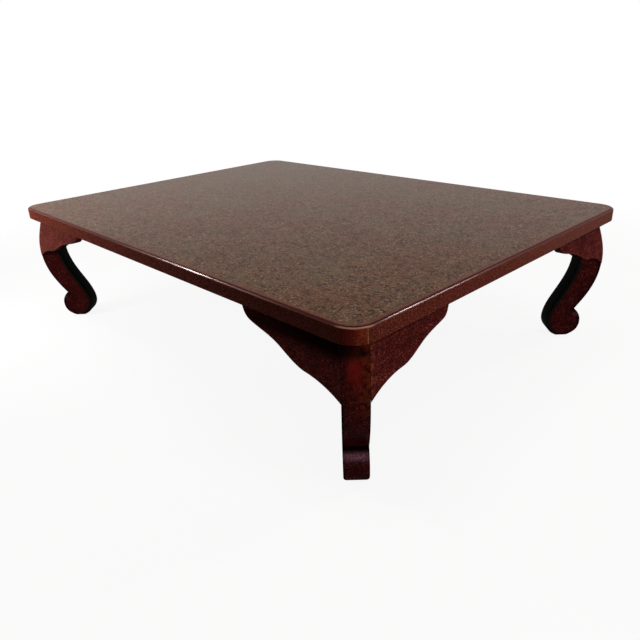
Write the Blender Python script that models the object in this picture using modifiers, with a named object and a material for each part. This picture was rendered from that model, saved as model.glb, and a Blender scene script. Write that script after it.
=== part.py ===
"""Low lacquered table with diagonal cat legs that fold in between fixed corner brackets.

Metres, +Z up. The origin is on the floor under the middle of the top, and X runs along the long side.
"""
import math

import bmesh
import bpy
from mathutils import Matrix, Vector
from mathutils.geometry import interpolate_bezier

# Clearances
GAP = 0.0003
LEG_SIDE_GAP = 0.0006
NUT_CLEARANCE = 0.002

# Top
TOP_LENGTH = 1.200
TOP_WIDTH = 0.880
TABLE_HEIGHT = 0.310
BOARD_THICKNESS = 0.016
RIM_DEPTH = 0.012
RIM_WIDTH = 0.046
CORNER_RADIUS = 0.042
ARRIS_RADIUS = 0.005
BATTEN_WIDTH = 0.045
BATTEN_DEPTH = 0.024
BATTEN_OFFSET = 0.245
BATTEN_CHAMFER = 0.004

# Legs: insets are measured along the diagonal from the sharp corner of the top
LEG_WIDTH = 0.0433
LEG_TOP_INSET = 0.052
KNEE_INSET = 0.0302
KNEE_DROP = 0.092
WAIST_INSET = 0.083
WAIST_DROP = 0.092
FOOT_INSET = 0.100
FOOT_ROLL_RADIUS = 0.0393
FOOT_FLAT = 0.0236
TOE_CREASE_ANGLE = 124.0
HEEL_ANGLE = 5.0
PIVOT_INSET = 0.112

# Corner brackets: u runs along the side from the sharp corner of the top
BRACKET_LENGTH_LONG = 0.283
BRACKET_LENGTH_SHORT = 0.249
BRACKET_DROP = 0.100
BRACKET_SHOULDER = 0.112
BRACKET_BACK = 0.034
GLUE_BLOCK_START = 0.112
GLUE_BLOCK_LENGTH = 0.060
GLUE_BLOCK_SIDE = 0.020

# Leg hinges
EAR_THICKNESS = 0.003
EAR_REACH = 0.010
EAR_LENGTH = 0.030
PLATE_THICKNESS = 0.0025
PLATE_LENGTH = 0.052
BLOCK_MARGIN = 0.012
BOLT_RADIUS = 0.003
BOLT_HEAD_RADIUS = 0.006
BOLT_HEAD_HEIGHT = 0.004
BOLT_TAIL = 0.002
CLAMP_NUT_RADIUS = 0.0085
CLAMP_NUT_LENGTH = 0.007
CLAMP_NUT_FLUTES = 18
FLUTE_DEPTH = 0.0006
SCREW_HEAD_RADIUS = 0.004
SCREW_RADIUS = 0.002
SCREW_LENGTH = 0.0105
SCREW_SLOT = 0.0009
SCREW_EDGE = 0.013

# Worked out from the sizes above
ROOT2 = math.sqrt(2)
BOARD_UNDERSIDE = TABLE_HEIGHT - BOARD_THICKNESS
UNDERSIDE = BOARD_UNDERSIDE - RIM_DEPTH
SEAT = UNDERSIDE - GAP
HALF_LEG = LEG_WIDTH / 2
EAR_INNER = HALF_LEG + LEG_SIDE_GAP
EAR_OUTER = EAR_INNER + EAR_THICKNESS
PIVOT_HEIGHT = UNDERSIDE - CLAMP_NUT_RADIUS - NUT_CLEARANCE
KNUCKLE_RADIUS = SEAT - PIVOT_HEIGHT
PLATE_START = PIVOT_INSET + KNUCKLE_RADIUS + NUT_CLEARANCE
PLATE_END = PLATE_START + PLATE_LENGTH
PLATE_FACE = SEAT - PLATE_THICKNESS
FOOT_CENTRE_HEIGHT = math.sqrt(FOOT_ROLL_RADIUS ** 2 - (FOOT_FLAT / 2) ** 2)

CORNERS = {
    "front_left": (-1, -1),
    "front_right": (1, -1),
    "back_left": (-1, 1),
    "back_right": (1, 1),
}

FINISHES = {
    "speckled_lacquer": ((0.16, 0.075, 0.05), 0.3, 0.0),
    "red_lacquer": ((0.11, 0.022, 0.018), 0.3, 0.0),
    "black_lacquer": ((0.012, 0.012, 0.011), 0.35, 0.0),
    "steel": ((0.35, 0.34, 0.32), 0.4, 1.0),
    "brass": ((0.55, 0.4, 0.16), 0.35, 1.0),
}


def clear_scene():
    for item in list(bpy.data.objects):
        bpy.data.objects.remove(item, do_unlink=True)


def new_collection(name):
    collection = bpy.data.collections.new(name)
    bpy.context.scene.collection.children.link(collection)
    return collection


def make_finish(name):
    colour, roughness, metallic = FINISHES[name]
    material = bpy.data.materials.new(name)
    material.use_nodes = True
    shader = material.node_tree.nodes["Principled BSDF"]
    shader.inputs["Base Color"].default_value = (*colour, 1.0)
    shader.inputs["Roughness"].default_value = roughness
    shader.inputs["Metallic"].default_value = metallic
    return material


def add_part(name, mesh, finish, place=Matrix()):
    part = bpy.data.objects.new(name, mesh)
    part.matrix_world = place
    if not mesh.materials:
        mesh.materials.append(finishes[finish])
    parts.objects.link(part)
    return part


def add_cutter(name, mesh, place=Matrix()):
    cutter = bpy.data.objects.new(name, mesh)
    cutter.matrix_world = place
    cutter.hide_render = True
    cutter.display_type = "WIRE"
    cutters.objects.link(cutter)
    return cutter


def cut(part, cutter, operation="DIFFERENCE"):
    modifier = part.modifiers.new(operation.lower(), "BOOLEAN")
    modifier.operation = operation
    modifier.object = cutter
    modifier.solver = "EXACT"


def arc(centre, radius, start, end, steps):
    """Points on an arc, with its angles in degrees."""
    angles = [math.radians(start + (end - start) * i / steps) for i in range(steps + 1)]
    return [(centre[0] + radius * math.cos(a), centre[1] + radius * math.sin(a)) for a in angles]


def bezier(start, handle_a, handle_b, end, steps):
    return [tuple(p) for p in interpolate_bezier(
        Vector(start), Vector(handle_a), Vector(handle_b), Vector(end), steps + 1)]


def evaluated_mesh(item):
    graph = bpy.context.evaluated_depsgraph_get()
    return bpy.data.meshes.new_from_object(item.evaluated_get(graph))


def tidy_mesh(mesh, place=Matrix(), flat_caps=False):
    """Weld the caps, move the shape to its place and point its faces outwards."""
    shape = bmesh.new()
    shape.from_mesh(mesh)
    bmesh.ops.remove_doubles(shape, verts=shape.verts, dist=1e-5)
    if flat_caps:
        bmesh.ops.dissolve_limit(shape, angle_limit=0.002, verts=shape.verts, edges=shape.edges)
    bmesh.ops.transform(shape, matrix=place, verts=shape.verts)
    bmesh.ops.recalc_face_normals(shape, faces=shape.faces)
    shape.to_mesh(mesh)
    shape.free()
    return mesh


def slab(loops, low, high, place=Matrix(), flat_caps=False):
    """A flat outline with any holes, thick from low to high along its own third axis."""
    curve = bpy.data.curves.new("outline", "CURVE")
    curve.dimensions = "2D"
    curve.fill_mode = "BOTH"
    curve.extrude = (high - low) / 2
    for loop in loops:
        spline = curve.splines.new("POLY")
        spline.points.add(len(loop) - 1)
        for point, (a, b) in zip(spline.points, loop):
            point.co = (a, b, 0, 1)
        spline.use_cyclic_u = True
    holder = bpy.data.objects.new("outline", curve)
    bpy.context.scene.collection.objects.link(holder)
    mesh = evaluated_mesh(holder)
    bpy.data.objects.remove(holder)
    bpy.data.curves.remove(curve)
    return tidy_mesh(mesh, place @ Matrix.Translation((0, 0, (low + high) / 2)), flat_caps)


def turned(profile, steps, place=Matrix()):
    """A closed shape turned about Z from a profile of (radius, height) points, top to bottom."""
    mesh = bpy.data.meshes.new("profile")
    points = [(radius, 0, height) for radius, height in profile]
    mesh.from_pydata(points, [(i, i + 1) for i in range(len(points) - 1)], [])
    holder = bpy.data.objects.new("profile", mesh)
    bpy.context.scene.collection.objects.link(holder)
    screw = holder.modifiers.new("turn", "SCREW")
    screw.steps = steps
    screw.render_steps = steps
    screw.use_merge_vertices = True
    screw.merge_threshold = 1e-5
    result = evaluated_mesh(holder)
    bpy.data.objects.remove(holder)
    return tidy_mesh(result, place)


def axes_frame(origin, first, second, third):
    frame = Matrix.Identity(4)
    for column, axis in enumerate((first, second, third)):
        frame.col[column] = (*axis, 0)
    frame.translation = origin
    return frame


def corner_point(signs):
    return Vector((signs[0] * TOP_LENGTH / 2, signs[1] * TOP_WIDTH / 2, 0))


def inward(signs):
    return Vector((-signs[0], -signs[1], 0)) / ROOT2


def across(signs):
    return Vector((0, 0, 1)).cross(inward(signs))


def diagonal_upright(signs):
    """Outlines in (inset, height), thickness across the diagonal."""
    up = Vector((0, 0, 1))
    return axes_frame(corner_point(signs), inward(signs), up, inward(signs).cross(up))


def diagonal_flat(signs):
    """Outlines in (inset, across), thickness upwards."""
    return axes_frame(corner_point(signs), inward(signs), across(signs), Vector((0, 0, 1)))


def side_directions(signs, side):
    along = Vector((-signs[0], 0, 0))
    inwards = Vector((0, -signs[1], 0))
    return (along, inwards) if side == "long" else (inwards, along)


def hinge_point(signs):
    return corner_point(signs) + inward(signs) * PIVOT_INSET + Vector((0, 0, PIVOT_HEIGHT))


def hinge_frame(signs):
    """Z along the hinge bolt, on the leg's turning axis."""
    up = Vector((0, 0, 1))
    return axes_frame(hinge_point(signs), inward(signs), up, inward(signs).cross(up))


def rounded_rectangle(length, width, radius, steps=8):
    points = []
    for sx, sy, start in ((1, -1, -90), (1, 1, 0), (-1, 1, 90), (-1, -1, 180)):
        centre = (sx * (length / 2 - radius), sy * (width / 2 - radius))
        points += arc(centre, radius, start, start + 90, steps)
    return points


def make_top_board():
    outline = rounded_rectangle(TOP_LENGTH, TOP_WIDTH, CORNER_RADIUS)
    mesh = slab([outline], BOARD_UNDERSIDE, TABLE_HEIGHT, flat_caps=True)
    shape = bmesh.new()
    shape.from_mesh(mesh)
    weight = shape.edges.layers.float.new("bevel_weight_edge")
    for edge in shape.edges:
        if all(v.co.z > TABLE_HEIGHT - GAP for v in edge.verts):
            edge[weight] = 1.0
    shape.to_mesh(mesh)
    shape.free()
    board = add_part("top_board", mesh, "speckled_lacquer")
    arris = board.modifiers.new("arris", "BEVEL")
    arris.limit_method = "WEIGHT"
    arris.width = ARRIS_RADIUS
    arris.segments = 3


def make_rim(name, length, place):
    """One mitred strip; its outline is in (along the side, inwards from the side)."""
    half = length / 2
    mitre = GAP / ROOT2
    swing = 45 - math.degrees(GAP / 2 / CORNER_RADIUS)
    centre = half - CORNER_RADIUS
    right = arc((centre, CORNER_RADIUS), CORNER_RADIUS, -90, -90 + swing, 4)
    left = arc((-centre, CORNER_RADIUS), CORNER_RADIUS, -90 - swing, -90, 4)
    inner = half - RIM_WIDTH - mitre
    outline = left + right + [(inner, RIM_WIDTH), (-inner, RIM_WIDTH)]
    add_part(name, slab([outline], UNDERSIDE, BOARD_UNDERSIDE - GAP, place), "speckled_lacquer")


def make_rims():
    up = Vector((0, 0, 1))
    x = Vector((1, 0, 0))
    y = Vector((0, 1, 0))
    make_rim("rim_front", TOP_LENGTH, axes_frame(-y * TOP_WIDTH / 2, x, y, up))
    make_rim("rim_back", TOP_LENGTH, axes_frame(y * TOP_WIDTH / 2, x, -y, up))
    make_rim("rim_left", TOP_WIDTH, axes_frame(-x * TOP_LENGTH / 2, y, x, up))
    make_rim("rim_right", TOP_WIDTH, axes_frame(x * TOP_LENGTH / 2, y, -x, up))


def make_batten(name, x):
    half_width = BATTEN_WIDTH / 2
    top = BOARD_UNDERSIDE - GAP
    low = top - BATTEN_DEPTH
    outline = [
        (-half_width, top),
        (-half_width, low + BATTEN_CHAMFER),
        (-half_width + BATTEN_CHAMFER, low),
        (half_width - BATTEN_CHAMFER, low),
        (half_width, low + BATTEN_CHAMFER),
        (half_width, top),
    ]
    half_length = TOP_WIDTH / 2 - RIM_WIDTH - GAP
    place = axes_frame(Vector((x, 0, 0)), Vector((1, 0, 0)), Vector((0, 0, 1)), Vector((0, -1, 0)))
    add_part(name, slab([outline], -half_length, half_length, place), "black_lacquer")


def screw_spots():
    """Screw places on the hinge plate, in (inset, across)."""
    near = PLATE_START + SCREW_EDGE
    far = PLATE_END - SCREW_EDGE
    side = EAR_OUTER - SCREW_EDGE
    return [(inset, reach) for inset in (near, far) for reach in (-side, side)]


def screw_profile(grow):
    """Countersunk screw, head down at height 0 and tip up."""
    head = SCREW_HEAD_RADIUS + grow
    shank = SCREW_RADIUS + grow
    neck = SCREW_HEAD_RADIUS - SCREW_RADIUS
    tip = SCREW_LENGTH + grow
    return [(0, tip), (shank, tip - SCREW_RADIUS), (shank, neck), (head, 0), (head, -grow), (0, -grow)]


def make_screw_mesh():
    body = add_cutter("screw_body", turned(screw_profile(0), 12))
    bpy.ops.mesh.primitive_cube_add(size=1)
    slot = bpy.context.object
    slot.scale = (SCREW_HEAD_RADIUS * 3, SCREW_SLOT, SCREW_SLOT * 2)
    bpy.context.view_layer.update()
    cut(body, slot)
    mesh = evaluated_mesh(body)
    bpy.data.objects.remove(slot)
    bpy.data.objects.remove(body)
    mesh.materials.clear()
    return mesh


def make_screw_holes(name, signs):
    shape = bmesh.new()
    hole = turned(screw_profile(GAP), 12)
    for inset, reach in screw_spots():
        place = diagonal_flat(signs) @ Matrix.Translation((inset, reach, PLATE_FACE))
        hole.transform(place)
        shape.from_mesh(hole)
        hole.transform(place.inverted())
    mesh = bpy.data.meshes.new("screw_holes")
    shape.to_mesh(mesh)
    shape.free()
    return add_cutter(f"screw_holes_{name}", mesh)


def make_corner_block(name, signs, holes):
    start = RIM_WIDTH + GAP
    end = (PLATE_END + BLOCK_MARGIN) * ROOT2 - start
    corner = corner_point(signs)
    along, inwards = side_directions(signs, "long")
    outline = [(start, start), (end, start), (start, end)]
    place = axes_frame(corner, along, inwards, Vector((0, 0, 1)))
    block = add_part(f"corner_block_{name}", slab([outline], UNDERSIDE, BOARD_UNDERSIDE - GAP, place),
                     "black_lacquer")
    cut(block, holes)


def leg_front(steps):
    """The leg's outer face from the top to the toe crease, in (inset, height)."""
    foot = (FOOT_INSET, FOOT_CENTRE_HEIGHT)
    crease = arc(foot, FOOT_ROLL_RADIUS, TOE_CREASE_ANGLE, TOE_CREASE_ANGLE, 1)[0]
    knee_height = UNDERSIDE - KNEE_DROP
    bow = LEG_TOP_INSET - KNEE_INSET
    fall = knee_height - crease[1]
    upper = bezier((LEG_TOP_INSET, SEAT),
                   (LEG_TOP_INSET - bow * 0.48, SEAT - KNEE_DROP * 0.33),
                   (KNEE_INSET, knee_height + KNEE_DROP * 0.38),
                   (KNEE_INSET, knee_height), steps)
    lower = bezier((KNEE_INSET, knee_height),
                   (KNEE_INSET, knee_height - fall * 0.42),
                   (KNEE_INSET + (crease[0] - KNEE_INSET) * 0.46, crease[1] + fall * 0.285),
                   crease, steps + 4)
    return upper, lower


def leg_outline():
    """The whole leg seen along its hinge bolt, in (inset, height)."""
    foot = (FOOT_INSET, FOOT_CENTRE_HEIGHT)
    pivot = (PIVOT_INSET, PIVOT_HEIGHT)
    upper, lower = leg_front(7)
    flat_angle = math.degrees(math.asin(FOOT_CENTRE_HEIGHT / FOOT_ROLL_RADIUS))
    toe = arc(foot, FOOT_ROLL_RADIUS, TOE_CREASE_ANGLE, 180 + flat_angle, 12)
    heel = arc(foot, FOOT_ROLL_RADIUS, 360 - flat_angle, 360 + HEEL_ANGLE, 7)
    waist = (WAIST_INSET, UNDERSIDE - WAIST_DROP)
    rise = waist[1] - heel[-1][1]
    back = bezier(heel[-1],
                  (heel[-1][0] - rise * 0.028, heel[-1][1] + rise * 0.32),
                  (waist[0] + rise * 0.04, waist[1] - rise * 0.436), waist, 12)
    knuckle = arc(pivot, KNUCKLE_RADIUS, -20, 90, 7)
    flare = knuckle[0][1] - waist[1]
    head = bezier(waist,
                  (waist[0] - flare * 0.046, waist[1] + flare * 0.385),
                  (knuckle[0][0] - flare * 0.123, knuckle[0][1] - flare * 0.337), knuckle[0], 9)
    return upper[:-1] + lower[:-1] + toe + heel[:-1] + back[:-1] + head[:-1] + knuckle


def make_leg(name, signs):
    bore = arc((PIVOT_INSET, PIVOT_HEIGHT), BOLT_RADIUS + GAP, 0, 337.5, 15)
    mesh = slab([leg_outline(), bore], -HALF_LEG, HALF_LEG, diagonal_upright(signs))
    pivot = Matrix.Translation(hinge_point(signs))
    mesh.transform(pivot.inverted())
    add_part(f"leg_{name}", mesh, "red_lacquer", pivot)


def bracket_outline(length):
    """The bracket's face with its double wave, in (along the side, height)."""
    reach = length - BRACKET_SHOULDER

    def wave(u, drop):
        return (BRACKET_SHOULDER + reach * u, UNDERSIDE - BRACKET_DROP * drop)

    def neck(u, drop):
        return (BRACKET_SHOULDER * u, UNDERSIDE - BRACKET_DROP * drop)

    first = bezier(neck(0.18, 1.18), neck(0.40, 0.92), neck(0.71, 0.72), neck(1.0, 0.715), 6)
    second = bezier(wave(0.0, 0.715), wave(0.18, 0.715), wave(0.245, 0.56), wave(0.386, 0.51), 6)
    third = bezier(wave(0.386, 0.51), wave(0.544, 0.39), wave(0.66, 0.38), wave(0.82, 0.335), 5)
    tip = bezier(wave(0.82, 0.335), wave(0.90, 0.295), wave(0.96, 0.16), (length, SEAT), 5)
    return first + second[1:] + third[1:] + tip[1:] + [(neck(0.18, 0)[0], SEAT)]


def make_bracket(name, signs, side, slot):
    length = BRACKET_LENGTH_LONG if side == "long" else BRACKET_LENGTH_SHORT
    along, inwards = side_directions(signs, side)
    corner = corner_point(signs)
    up = Vector((0, 0, 1))
    face = axes_frame(corner, along, up, inwards)
    mesh = slab([bracket_outline(length)], 0, BRACKET_BACK, face)
    bracket = add_part(f"bracket_{name}_{side}", mesh, "red_lacquer")
    upper, lower = leg_front(5)
    front = [((inset - HALF_LEG) / ROOT2, height) for inset, height in upper + lower[1:-4]]
    top = SEAT + BRACKET_DROP
    back = BRACKET_BACK + BRACKET_DROP
    outline = [(front[0][0], top)] + front + [(back, front[-1][1]), (back, top)]
    section = axes_frame(corner, inwards, up, along)
    bow = add_cutter(f"bow_{name}_{side}", slab([outline], -BRACKET_BACK, length + BRACKET_BACK, section))
    cut(bracket, bow, "INTERSECT")
    cut(bracket, slot)
    make_glue_block(name, side, section)


def make_glue_block(name, side, section):
    near = BRACKET_BACK + GAP
    outline = [(near, SEAT), (near + GLUE_BLOCK_SIDE, SEAT), (near, SEAT - GLUE_BLOCK_SIDE)]
    end = GLUE_BLOCK_START + GLUE_BLOCK_LENGTH
    mesh = slab([outline], GLUE_BLOCK_START, end, section)
    add_part(f"glue_block_{name}_{side}", mesh, "black_lacquer")


def make_leg_slot(name, signs):
    """The room between the two brackets of a corner, where the leg stands."""
    half = HALF_LEG + LEG_SIDE_GAP
    outline = [(-BRACKET_DROP, -half), (PLATE_END, -half), (PLATE_END, half), (-BRACKET_DROP, half)]
    mesh = slab([outline], 0, TABLE_HEIGHT, diagonal_flat(signs))
    return add_cutter(f"leg_slot_{name}", mesh)


def make_hinge_plate(name, signs, holes):
    web_half = EAR_OUTER - GAP
    web_outline = [(PLATE_START, -web_half), (PLATE_END, -web_half), (PLATE_END, web_half), (PLATE_START, web_half)]
    plate = add_part(f"hinge_plate_{name}", slab([web_outline], PLATE_FACE, SEAT, diagonal_flat(signs)), "steel")
    pivot = (PIVOT_INSET, PIVOT_HEIGHT)
    ear_top = SEAT - GAP
    ear_end = PIVOT_INSET + EAR_LENGTH
    ear_outline = arc(pivot, EAR_REACH, 180, 270, 6)
    ear_outline += [(PIVOT_INSET + EAR_REACH, PIVOT_HEIGHT - EAR_REACH), (ear_end, PLATE_FACE - GAP)]
    ear_outline += [(ear_end, ear_top), (PIVOT_INSET - EAR_REACH, ear_top)]
    bore = arc(pivot, BOLT_RADIUS + GAP, 0, 337.5, 15)
    for ear, (low, high) in (("near", (EAR_INNER, EAR_OUTER)), ("far", (-EAR_OUTER, -EAR_INNER))):
        mesh = slab([ear_outline, bore], low, high, diagonal_upright(signs))
        cut(plate, add_cutter(f"ear_{ear}_{name}", mesh), "UNION")
    cut(plate, holes)


def make_hinge_bolt(name, signs):
    head = -EAR_OUTER - GAP
    crown = head - BOLT_HEAD_HEIGHT
    rim = head - BOLT_HEAD_HEIGHT / 2
    end = EAR_OUTER + GAP + CLAMP_NUT_LENGTH + BOLT_TAIL
    profile = [(0, end), (BOLT_RADIUS, end), (BOLT_RADIUS, head), (BOLT_HEAD_RADIUS, head),
               (BOLT_HEAD_RADIUS, rim), (BOLT_HEAD_RADIUS - BOLT_HEAD_HEIGHT / 2, crown), (0, crown)]
    add_part(f"hinge_bolt_{name}", turned(profile, 16), "steel", hinge_frame(signs))


def make_clamp_nut(name, signs):
    low = EAR_OUTER + GAP
    steps = CLAMP_NUT_FLUTES * 2
    flutes = []
    for i in range(steps):
        radius = CLAMP_NUT_RADIUS - FLUTE_DEPTH * (i % 2)
        angle = 2 * math.pi * i / steps
        flutes.append((radius * math.cos(angle), radius * math.sin(angle)))
    bore = arc((0, 0), BOLT_RADIUS + GAP, 0, 337.5, 15)
    mesh = slab([flutes, bore], low, low + CLAMP_NUT_LENGTH)
    add_part(f"clamp_nut_{name}", mesh, "brass", hinge_frame(signs))


def make_corner(name, signs, screw_mesh):
    holes = make_screw_holes(name, signs)
    slot = make_leg_slot(name, signs)
    make_corner_block(name, signs, holes)
    make_bracket(name, signs, "long", slot)
    make_bracket(name, signs, "short", slot)
    make_leg(name, signs)
    make_hinge_plate(name, signs, holes)
    make_hinge_bolt(name, signs)
    make_clamp_nut(name, signs)
    for number, (inset, reach) in enumerate(screw_spots(), 1):
        place = diagonal_flat(signs) @ Matrix.Translation((inset, reach, PLATE_FACE))
        add_part(f"screw_{name}_{number}", screw_mesh, "steel", place)


clear_scene()
parts = new_collection("chabudai")
cutters = new_collection("cutters")
finishes = {name: make_finish(name) for name in FINISHES}
make_top_board()
make_rims()
make_batten("batten_left", -BATTEN_OFFSET)
make_batten("batten_right", BATTEN_OFFSET)
screw_shape = make_screw_mesh()
for corner_name, corner_signs in CORNERS.items():
    make_corner(corner_name, corner_signs, screw_shape)
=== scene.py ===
import math

import bmesh
import bpy
from mathutils import Matrix, Vector
from mathutils.geometry import interpolate_bezier


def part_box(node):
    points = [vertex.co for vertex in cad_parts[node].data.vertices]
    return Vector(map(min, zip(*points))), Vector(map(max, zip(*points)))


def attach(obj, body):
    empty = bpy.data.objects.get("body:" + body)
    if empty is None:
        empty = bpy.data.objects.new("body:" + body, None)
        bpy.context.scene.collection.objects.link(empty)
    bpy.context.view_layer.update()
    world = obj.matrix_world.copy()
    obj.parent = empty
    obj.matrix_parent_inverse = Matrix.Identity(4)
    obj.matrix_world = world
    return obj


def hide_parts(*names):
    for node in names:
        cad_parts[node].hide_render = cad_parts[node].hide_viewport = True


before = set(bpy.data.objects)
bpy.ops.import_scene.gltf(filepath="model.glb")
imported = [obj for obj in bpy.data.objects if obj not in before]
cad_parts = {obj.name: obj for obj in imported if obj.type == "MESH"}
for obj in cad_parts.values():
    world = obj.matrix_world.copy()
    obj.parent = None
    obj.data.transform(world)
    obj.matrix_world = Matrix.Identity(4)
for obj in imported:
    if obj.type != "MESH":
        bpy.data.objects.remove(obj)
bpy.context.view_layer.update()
root2 = math.sqrt(2)
up = Vector((0, 0, 1))
corners = {"front_left": (-1, -1), "front_right": (1, -1), "back_left": (-1, 1), "back_right": (1, 1)}
boardLow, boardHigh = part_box("top_board")
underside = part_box("rim_front")[0].z
seat = underside - 0.0003  # what sits under the rims has this hair of glue


class Wire:  # one socket, so that node sums read as plain sums
    def __init__(self, tree, socket):
        self.tree = tree
        self.socket = socket

    def node(self, kind, settings=None, sockets=None, out=0):  # settings first, then values or links
        made = self.tree.nodes.new(kind)
        for key, value in (settings or {}).items():
            setattr(made, key, value)
        for key, value in (sockets or {}).items():
            if isinstance(value, Wire):
                self.tree.links.new(value.socket, made.inputs[key])
            else:
                made.inputs[key].default_value = value
        return Wire(self.tree, made.outputs[out])

    def maths(self, operation, *values):
        return self.node("ShaderNodeMath", {"operation": operation}, dict(enumerate(values)))

    def __add__(self, other):
        return self.maths("ADD", self, other)

    def __radd__(self, other):
        return self.maths("ADD", other, self)

    def __sub__(self, other):
        return self.maths("SUBTRACT", self, other)

    def __rsub__(self, other):
        return self.maths("SUBTRACT", other, self)

    def __mul__(self, other):
        return self.maths("MULTIPLY", self, other)

    def __rmul__(self, other):
        return self.maths("MULTIPLY", other, self)

    def __truediv__(self, other):
        return self.maths("DIVIDE", self, other)

    def __pow__(self, other):
        return self.maths("POWER", self, other)

    def __abs__(self):
        return self.maths("ABSOLUTE", self)

    def atLeast(self, other):
        return self.maths("MAXIMUM", self, other)

    def atMost(self, other):
        return self.maths("MINIMUM", self, other)

    def rise(self, low, high):  # 0 at low, 1 at high, eased at both ends
        return self.node("ShaderNodeMapRange", {"interpolation_type": "SMOOTHSTEP"},
                         {"Value": self, "From Min": low, "From Max": high})

    def fall(self, low, high):  # 1 at low, 0 at high
        return 1 - self.rise(low, high)

    def mix(self, first, second):  # colours, by this wire
        return self.node("ShaderNodeMix", {"data_type": "RGBA"}, {0: self, 6: first, 7: second}, 2)

    def axis(self, name):
        return self.node("ShaderNodeSeparateXYZ", {}, {"Vector": self}, name)

    def awayFrom(self, x, y):  # distance in plan
        return ((self.axis("X") - x) ** 2.0 + (self.axis("Y") - y) ** 2.0) ** 0.5

    def noise(self, scale, detail=2.0, roughness=0.5):
        return self.node("ShaderNodeTexNoise", {}, {"Vector": self, "Scale": scale, "Detail": detail,
                                                    "Roughness": roughness}, "Fac")

    def cells(self, scale, out="Distance"):
        return self.node("ShaderNodeTexVoronoi", {}, {"Vector": self, "Scale": scale}, out)

    def flecks(self, scale, axis, chance, reach):  # some of the cells, each as a soft dot
        return self.cells(scale, "Color").axis(axis).rise(*chance) * self.cells(scale).fall(*reach)

    def painted(self, name):  # a value that the mesh carries
        return self.node("ShaderNodeAttribute", {"attribute_name": name}, {}, "Fac")

    def stretched(self, x, y, z):
        return self.node("ShaderNodeMapping", {}, {"Vector": self, "Scale": (x, y, z)})

    def bump(self, strength, distance):
        return self.node("ShaderNodeBump", {}, {"Height": self, "Strength": strength, "Distance": distance},
                         "Normal")


def tint(red, green, blue):  # a screen colour, 0 to 255, as the shader wants it
    def straight(value):
        value /= 255
        return value / 12.92 if value < 0.04045 else ((value + 0.055) / 1.055) ** 2.4
    return (straight(red), straight(green), straight(blue), 1.0)


def newFinish(name, constants):
    finish = bpy.data.materials.new(name)
    finish.use_nodes = True
    tree = finish.node_tree
    shader = tree.nodes["Principled BSDF"]
    for key, value in constants.items():
        shader.inputs[key].default_value = value
    place = Wire(tree, tree.nodes.new("ShaderNodeTexCoord").outputs["Object"])
    return finish, shader, place


def feed(shader, sockets):
    for key, wire in sockets.items():
        wire.tree.links.new(wire.socket, shader.inputs[key])


def plainRays(tree):  # 1 for rays that see, mirror or pass through, 0 for light
    rays = tree.nodes.new("ShaderNodeLightPath").outputs
    seen, mirrored, passed = (Wire(tree, rays[f"Is {kind} Ray"]) for kind in ("Camera", "Glossy", "Transmission"))
    return seen.atLeast(mirrored).atLeast(passed)


# lacquer of the top

topGloss = {"Specular IOR Level": 0.018, "Coat Weight": 0.0, "Coat Roughness": 0.12}
sideGloss = {"Specular IOR Level": 0.0, "Coat Weight": 0.045, "Coat Roughness": 0.2}
topLook = {"ground": tint(105, 75, 54), "shadow": tint(56, 31, 21), "dark": tint(38, 19, 12),
           "olive": tint(140, 118, 90), "rose": tint(148, 96, 73), "grey": tint(160, 138, 115),
           "cool": tint(98, 96, 76), "warm": tint(108, 58, 46), "faded": tint(100, 86, 64),
           "side": tint(111, 50, 38), "sideDark": tint(56, 17, 11), "sideFleck": tint(140, 82, 67),
           "sideFaded": tint(116, 76, 66), "cherry": tint(100, 20, 12), "orange": tint(146, 62, 28),
           "worn": tint(118, 60, 45), "line": tint(58, 19, 14), "arris": tint(90, 46, 38),
           "bare": tint(180, 132, 118), "split": tint(190, 118, 80),
           "arrisCoat": 0.03, "polish": 0.14, "shine": 0.32}
topFlecks = ((140.0, "olive", 0.82), (230.0, "rose", 0.74), (350.0, "olive", 0.70),  # scale, colour, how rare
             (125.0, "dark", 0.80), (290.0, "grey", 0.74), (190.0, "dark", 0.82))
topBands = {"side": (-0.0026, -0.0014), "arris": (0.0014, 0.0024), "polish": (0.0016, 0.0028),
            "line": (0.0048, 0.0082), "worn": (0.009, 0.018)}  # each fades out here on the way in over the edge
topSpots = {"cherry": (0.583, -0.434), "dents": (0.556, -0.310), "bend": (0.588, -0.428),
            "split": (0.5975, -0.4125)}  # marks by the near corner, and the centre of the painted highlight there, in plan
wornAndLitCorners = ((0.594, -0.421, 0.014), (-0.580, -0.440, 0.060),  # place in plan and reach of the orange corners, partly wear and partly painted light
               (-0.598, 0.410, 0.030), (0.578, 0.440, 0.035))


def edgeInset(place):  # how far in from the rounded outline of the top
    radius = topSize["cornerRadius"]
    across = abs(place.axis("X")) - (boardHigh.x - radius)
    along = abs(place.axis("Y")) - (boardHigh.y - radius)
    outX = across.atLeast(0.0)
    outY = along.atLeast(0.0)
    outside = (outX * outX + outY * outY) ** 0.5
    return radius - outside - across.atLeast(along).atMost(0.0)


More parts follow.
